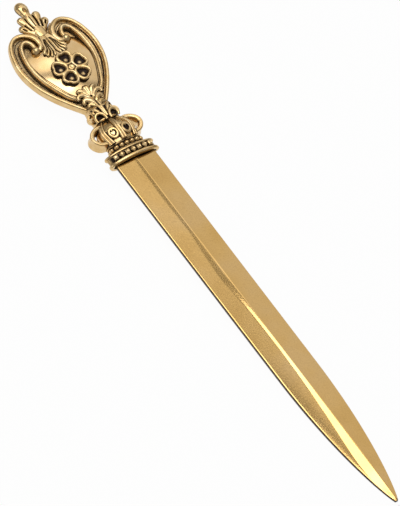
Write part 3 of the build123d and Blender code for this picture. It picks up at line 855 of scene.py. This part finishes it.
def make_crest():
    """Palmette: a head with a dimple over two pairs of lobes, fluted down to a smooth waist."""
    head = strand(
        [
            (0, 52.2, 0.6), (0, 55, 0.5), (0, 57.5, 0.35), (0, 59, 0.2), (0, 60.2, 0.2), (0, 61.4, 0.15),
            (0, 62.3, 0.1), (0, 62.95, 0.1), (0, 63.35, 0.05), (0, 63.55, 0), (0, 63.62, 0),
        ],
        [1.2, 1.45, 1.55, 1.5, 1.9, 2.1, 1.95, 1.6, 1.2, 0.75, 0.25], 0.62,
    )
    side = strand(
        [
            (1.0, 52.2, 0.6), (1.6, 54.4, 0.5), (2.15, 56.2, 0.4), (2.6, 57.4, 0.4), (2.85, 58.1, 0.4),
            (3.0, 58.5, 0.35), (3.07, 58.7, 0.3), (3.1, 58.78, 0.3),
        ],
        [0.9, 1.2, 1.35, 1.4, 1.25, 0.95, 0.6, 0.2], 0.6,
    )
    low = strand(
        [
            (1.3, 51.6, 0.6), (2.2, 52.8, 0.5), (3.0, 53.8, 0.4), (3.8, 54.6, 0.4), (4.35, 55.15, 0.3),
            (4.65, 55.42, 0.25), (4.82, 55.55, 0.2), (4.88, 55.6, 0.2),
        ],
        [0.9, 1.1, 1.25, 1.3, 1.15, 0.85, 0.5, 0.2], 0.6,
    )
    waist = strand(
        [(0, 53.8, 0.6), (0, 52.4, 0.6), (0, 51.0, 0.6), (0, 49.6, 0.5), (0, 48.2, 0.3)],
        [1.6, 2.0, 2.05, 1.95, 1.6], 0.48,
    )
    crest = cast("crest_palmette", [head, waist, *both([side, low])], 0.1, 2)
    flutes = [
        [(1.5, 57.7), (1.5, 56.0), (1.1, 53.6)], [(2.75, 55.4), (2.5, 54.4), (2.1, 53.1)],
        [(4.0, 54.5), (3.4, 53.6)],
    ]
    carve(crest, both_lines(flutes), 0.2, 0.9)
    carve(crest, [[(0, 57.6), (0, 54.0)]], 0.14, 0.4)

    def dimple(x, y, z):
        near = np.clip(1 - np.hypot(x, 0.8 * (y - 60.3)) / 0.6, 0, 1)
        return x, y, z - 0.9 * np.sqrt(near) * (z > 0)

    move_points(crest, dimple)
    flat_back(crest)
    settle(crest, ["crest"], antique, painted_wall_shade=0.9)


def make_crest_leaf():
    """Two tufts of strands that fall from the waist over the panel and fan out, parted down the middle."""
    tips = ((3.8, 43.2), (3.2, 42.2), (2.2, 41.5), (1.05, 41.5))
    strands = []
    for i, (x, y) in enumerate(tips):
        root = 1.35 - 0.32 * i
        strands.append(strand(
            [
                (root, 49.8, 1.2), (root + 0.2 * x, 47.4 - 0.3 * i, 1.6), (0.68 * x, y + 1.8, 1.9),
                (0.93 * x, y + 0.9, 2.0), (x, y + 0.3, 1.95), (0.9 * x, y, 1.8),
            ],
            [0.45, 0.52, 0.56, 0.56, 0.45, 0.28],
        ))
    leaf = cast("crest_leaf_tufts", both(strands), 0.09, 1)
    partings = []
    for (x0, y0), (x1, y1) in zip(tips, tips[1:]):
        x, y = (x0 + x1) / 2, (y0 + y1) / 2
        partings.append(
            [(0.35 + 0.25 * x, 48.2), (0.45 + 0.35 * x, 47.0), (0.68 * x, y + 1.8), (0.95 * x, y + 0.4)]
        )
    carve(leaf, both_lines(partings), 0.12, 0.35)
    settle(leaf, ["crest_leaf"], antique, painted_wall_shade=0.8)


def make_base_leaf():
    """Acanthus leaf that rises from the neck: a split stem, two pairs of side lobes, and a shell of strands on
    top whose outer pair clasps the feet of the inner frames."""
    stem = strand(
        [(0.45, 19.9, 2.4), (0.55, 21.6, 2.1), (0.5, 23.2, 1.8), (0.3, 24.6, 1.6)], [0.5, 0.6, 0.55, 0.4]
    )
    tip = strand(
        [(0.1, 24.6, 1.9), (0.3, 26.4, 2.0), (0.35, 27.6, 2.05), (0.1, 28.3, 1.9)], [0.5, 0.66, 0.74, 0.5]
    )
    crown = strand(
        [(0.4, 24.4, 1.9), (1.2, 26.0, 1.9), (1.9, 27.0, 2.0), (2.7, 27.3, 1.95), (3.1, 26.8, 1.8)],
        [0.5, 0.7, 0.78, 0.7, 0.45],
    )
    clasp = strand(
        [
            (0.5, 23.8, 1.9), (1.5, 25.0, 1.9), (2.5, 25.7, 1.95), (3.4, 25.8, 1.95), (4.1, 25.2, 1.9),
            (4.0, 24.4, 1.8),
        ],
        [0.5, 0.7, 0.78, 0.76, 0.66, 0.5],
    )
    upper = strand(
        [
            (0.25, 21.7, 1.9), (1.0, 22.8, 1.95), (1.9, 23.7, 1.8), (2.7, 23.8, 1.7), (3.15, 23.1, 1.6),
            (3.0, 22.4, 1.5),
        ],
        [0.6, 0.85, 0.95, 0.85, 0.66, 0.4],
    )
    lower = strand(
        [(0.5, 20.3, 2.0), (1.1, 21.2, 1.9), (1.8, 21.8, 1.8), (2.4, 21.6, 1.7), (2.6, 20.9, 1.6)],
        [0.55, 0.75, 0.8, 0.66, 0.45],
    )
    leaf = cast("base_leaf_acanthus", both([stem, tip, crown, clasp, upper, lower]), 0.09, 1)
    carve(leaf, [[(0.0, 20.0), (0.0, 22.4)]], 0.12, 0.35)
    settle(leaf, ["base_leaf"], antique, painted_wall_shade=0.8)


def make_neck():
    """Stem, two bows and two scroll ends between the crown's cap and the base leaf."""
    stem = strand(
        [(0.3, 15.9, 2.4), (0.25, 17.5, 2.6), (0.3, 19.0, 2.6), (0.4, 20.0, 2.5)], [0.5, 0.42, 0.42, 0.5]
    )
    flank = strand(
        [(1.3, 17.1, 2.5), (1.75, 18.3, 2.45), (2.4, 19.5, 2.2), (3.1, 20.6, 1.6)], [0.45, 0.55, 0.6, 0.5]
    )
    outer = strand([(2.9, 17.7, 2.1), (3.2, 18.7, 2.0), (3.5, 19.8, 1.5)], [0.4, 0.5, 0.45])
    stems = cast("neck_stem_strands", both([stem, flank, outer]), 0.1, 1)
    settle(stems, ["neck_stem"], antique, painted_wall_shade=0.7)
    bow = strand(
        [
            (0.8, 14.7, 2.95), (0.85, 15.8, 3.0), (1.4, 17.0, 2.95), (2.5, 17.5, 2.8), (3.5, 17.0, 2.6),
            (3.9, 15.9, 2.4), (3.7, 14.9, 2.3),
        ],
        [0.42, 0.45, 0.5, 0.52, 0.5, 0.45, 0.4],
    )
    settle(join("neck_bow_pair", both([bow])), ["neck_bows"], antique)
    section = [(0.3, -0.8), (0.42, -0.6), (0.42, 0.55), (0.3, 0.75)]
    section += [(-x, y) for x, y in reversed(section)]
    curl = [
        (3.4, 18.9, 0.5), (4.4, 18.7, 0.5), (5.1, 17.8, 0.5), (5.0, 16.7, 0.5), (4.2, 16.3, 0.55),
        (3.75, 16.9, 0.6), (4.2, 17.4, 0.6),
    ]
    right = sweep("neck_scroll_end_right", curl, section, [0.85, 0.9, 0.9, 0.8, 0.7, 0.6, 0.5])
    left = mirrored(right)
    left.name = "neck_scroll_end_left"
    settle(right, ["neck_scroll_right"], antique, painted_wall_shade=0.55)
    settle(left, ["neck_scroll_left"], antique, painted_wall_shade=0.55)
    pin = from_cad("tang_pin_head", "tang_pin")
    modify(pin, "BEVEL", width=0.12, segments=2, limit_method="ANGLE", angle_limit=math.radians(40))
    settle(pin, ["tang_pin"], satin)


make_blade()
make_collar()
make_jewels()
make_gallery()
make_crown()
make_hearts()
make_hoops()
make_plate()
make_mouldings()
make_panel()
make_rosette()
make_crest()
make_crest_leaf()
make_base_leaf()
make_neck()

# Patina and painted shade in what lies deep


patina_and_shade_gain = 2.4
patina_and_shade_reach = 1.0 * MM


def settle_patina_and_shade(pieces, reach, rays):
    """Keep on every point how far neighbouring metal closes it in, where patina settles and shade is painted.
    """
    corners, faces, start = [], [], 0
    for piece in pieces:
        mesh = piece.data
        places = np.empty(3 * len(mesh.vertices))
        mesh.vertices.foreach_get("co", places)
        corners.append(places.reshape(-1, 3))
        faces += [[v + start for v in polygon.vertices] for polygon in mesh.polygons]
        start += len(mesh.vertices)
    tree = BVHTree.FromPolygons(np.concatenate(corners).tolist(), faces)
    golden = math.pi * (3 - math.sqrt(5))
    spread = [
        (math.sqrt((k + 0.5) / rays) * math.cos(golden * k), math.sqrt((k + 0.5) / rays) * math.sin(golden * k))
        for k in range(rays)
    ]
    spread = [(a, b, math.sqrt(1 - a * a - b * b)) for a, b in spread]
    for piece, places in zip(pieces, corners):
        mesh = piece.data
        normals = np.empty(3 * len(mesh.vertices))
        mesh.vertex_normals.foreach_get("vector", normals)
        normals = normals.reshape(-1, 3)
        side = np.where(np.abs(normals[:, 2:]) < 0.9, [[0, 0, 1]], [[1, 0, 0]])
        right = np.cross(side, normals)
        right /= np.linalg.norm(right, axis=1)[:, None]
        ahead = np.cross(normals, right)
        starts = places + normals * 0.01 * MM
        closed = np.zeros(len(places))
        for a, b, c in spread:
            ways = a * right + b * ahead + c * normals
            for i, (origin, way) in enumerate(zip(starts.tolist(), ways.tolist())):
                distance = tree.ray_cast(origin, way, reach)[3]
                if distance is not None:
                    closed[i] += 1 - distance / reach
        # Patina with painted shade: the more closely a point is closed in, the darker it is painted.
        closed *= patina_and_shade_gain * piece["patina_and_shade_share"] / rays
        ends = np.empty(2 * len(mesh.edges), int)
        mesh.edges.foreach_get("vertices", ends)
        ends = np.concatenate([ends.reshape(-1, 2), ends.reshape(-1, 2)[:, ::-1]])
        for _ in range(2):
            near = np.bincount(ends[:, 0], closed[ends[:, 1]], len(places))
            closed = (closed + near) / (1 + np.bincount(ends[:, 0], minlength=len(places)))
        # Painted shade: upright walls are painted dark as if in shadow, as much as the piece's wall setting
        # asks.
        closed = np.maximum(closed, piece["painted_wall_shade"] * np.clip(1.4 - np.abs(normals[:, 2]) * 3, 0, 1))
        marks = mesh.attributes.get("mark_patina_and_painted_light")
        if marks:
            marked_values = np.empty(len(places))
            marks.data.foreach_get("value", marked_values)
            closed = np.maximum(closed, marked_values)
            mesh.attributes.remove(marks)
        wash = mesh.attributes.new("wash", "FLOAT", "POINT")
        wash.data.foreach_set("value", np.clip(closed, 0, 1))


settle_patina_and_shade(dressed, patina_and_shade_reach, 16)

# Studio: lamps by their distance in metres, the room's light, and the photograph's height and scale

stand_distance = 4.0
room_level = 0.32
paper_glow = 0.96
photo_height = 506
pixels_per_mm = 3.385


def look_along(right, up):
    """Turn of a camera or lamp from its right and up directions."""
    right, up = Vector(right).normalized(), Vector(up).normalized()
    back = right.cross(up)
    return Matrix((right, up, back)).transposed().to_4x4()


def make_floor():
    """Pale floor on which the opener rests with its crown and its point."""
    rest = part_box("crown_ribs")[0]
    tip = Vector((0, blade_box[0].y, bench_origin.z - edge_half[1] * MM))
    crown = Vector((0, bench_origin.y + (crown_foot + crown_belly_level) * MM, rest.z))
    tilt = math.atan2(tip.z - crown.z, crown.y - tip.y)
    bpy.ops.object.select_all(action="DESELECT")
    bpy.ops.mesh.primitive_plane_add(size=8, location=crown - Vector((0, 0, 0.05 * MM)), rotation=(-tilt, 0, 0))
    floor = fresh("studio_floor")
    finish, tree, shader = new_finish("white_studio_paper")
    seen = add(tree, "ShaderNodeLightPath")
    either = add(
        tree, "ShaderNodeMath",
        {0: seen.outputs["Is Camera Ray"], 1: seen.outputs["Is Glossy Ray"]}, operation="MAXIMUM",
    )
    either = add(
        tree, "ShaderNodeMath",
        {0: either.outputs[0], 1: seen.outputs["Is Transmission Ray"]}, operation="MAXIMUM",
    )
    paper = add(tree, "ShaderNodeBsdfDiffuse", {"Color": linear("#F4F4F2")})
    glow = add(tree, "ShaderNodeEmission", {"Color": (1, 1, 1, 1), "Strength": 1.0})
    part = add(tree, "ShaderNodeMath", {0: either.outputs[0], 1: paper_glow}, operation="MULTIPLY")
    mixed = add(tree, "ShaderNodeMixShader", {0: part.outputs[0], 1: paper.outputs[0], 2: glow.outputs[0]})
    tree.links.new(mixed.outputs[0], tree.nodes["Material Output"].inputs["Surface"])
    floor.data.materials.append(finish)


def softbox(name, way, along, size, level, shape="RECTANGLE"):
    """Soft lamp on a stand: its direction from the opener, the way its long side runs, its size in metres and
    the brightness of its face."""
    way = Vector(way).normalized()
    across = Vector(along).cross(way).normalized()
    lamp = bpy.data.lights.new(name, "AREA")
    lamp.shape = shape
    lamp.size, lamp.size_y = size
    lamp.energy = level * math.pi * size[0] * size[1] * (math.pi / 4 if shape == "ELLIPSE" else 1)
    holder = bpy.data.objects.new(name, lamp)
    bpy.context.collection.objects.link(holder)
    holder.matrix_world = Matrix.Translation(way * stand_distance) @ look_along(way.cross(across), -across)


def make_studio():
    """White floor, a room that is white to the camera and lights softly, and seven soft lamps: overhead,
    behind, in front and at both sides."""
    make_floor()
    world = bpy.data.worlds.new("studio_room")
    bpy.context.scene.world = world
    world.use_nodes = True
    tree = world.node_tree
    seen = add(tree, "ShaderNodeLightPath")
    level = add(
        tree, "ShaderNodeMapRange",
        {"Value": seen.outputs["Is Camera Ray"], "To Min": room_level, "To Max": 1.0},
    )
    ground = tree.nodes["Background"]
    ground.inputs["Color"].default_value = (1, 1, 1, 1)
    tree.links.new(level.outputs[0], ground.inputs["Strength"])
    softbox("overhead_softbox", (-0.05, -0.03, 1.0), (1, 0, 0), (2.2, 2.2), 1.7, "ELLIPSE")
    softbox("overhead_strip", (0.02, 0.36, 0.93), (-0.907, 0.42, -0.17), (3.1, 1.05), 3.6, "ELLIPSE")
    softbox("back_strip", (0.328, 0.515, 0.79), (0.61, -0.75, 0.25), (1.8, 1.0), 0.62)
    softbox("back_lamp", (0.17, 0.66, 0.73), (1, 0, 0), (1.3, 1.3), 0.95, "ELLIPSE")
    softbox("right_softbox", (0.62, 0.50, 0.60), (0, 1, 0), (3.2, 3.2), 0.58, "ELLIPSE")
    softbox("front_softbox", (0.33, 0.06, 0.94), (1, 0, 0), (1.4, 1.4), 1.5, "ELLIPSE")
    softbox("left_softbox", (-0.85, 0.25, 0.45), (0, 1, 0), (3.0, 2.4), 0.7)


def make_camera():
    """Long lens from the lower left, at the photograph's angle and framing."""
    right, up = (0.8129, -0.5546, 0.178), (0.3674, 0.7253, 0.581)
    turn_to = look_along(right, up)
    back = turn_to.col[2].to_3d()
    aim = Vector((0, 0, 4 * MM)) - 1.41 * MM * Vector(right) - 0.53 * MM * Vector(up)
    lens = bpy.data.cameras.new("photo_camera")
    lens.lens = 1300
    lens.sensor_width = 36
    stand = bpy.data.objects.new("photo_camera", lens)
    bpy.context.collection.objects.link(stand)
    far = photo_height / pixels_per_mm * MM * lens.lens / lens.sensor_width
    stand.matrix_world = Matrix.Translation(aim + back * far) @ turn_to
    lens.clip_start, lens.clip_end = 0.1, 20
    bpy.context.scene.camera = stand


make_studio()
make_camera()
bpy.context.scene.view_settings.view_transform = "Standard"
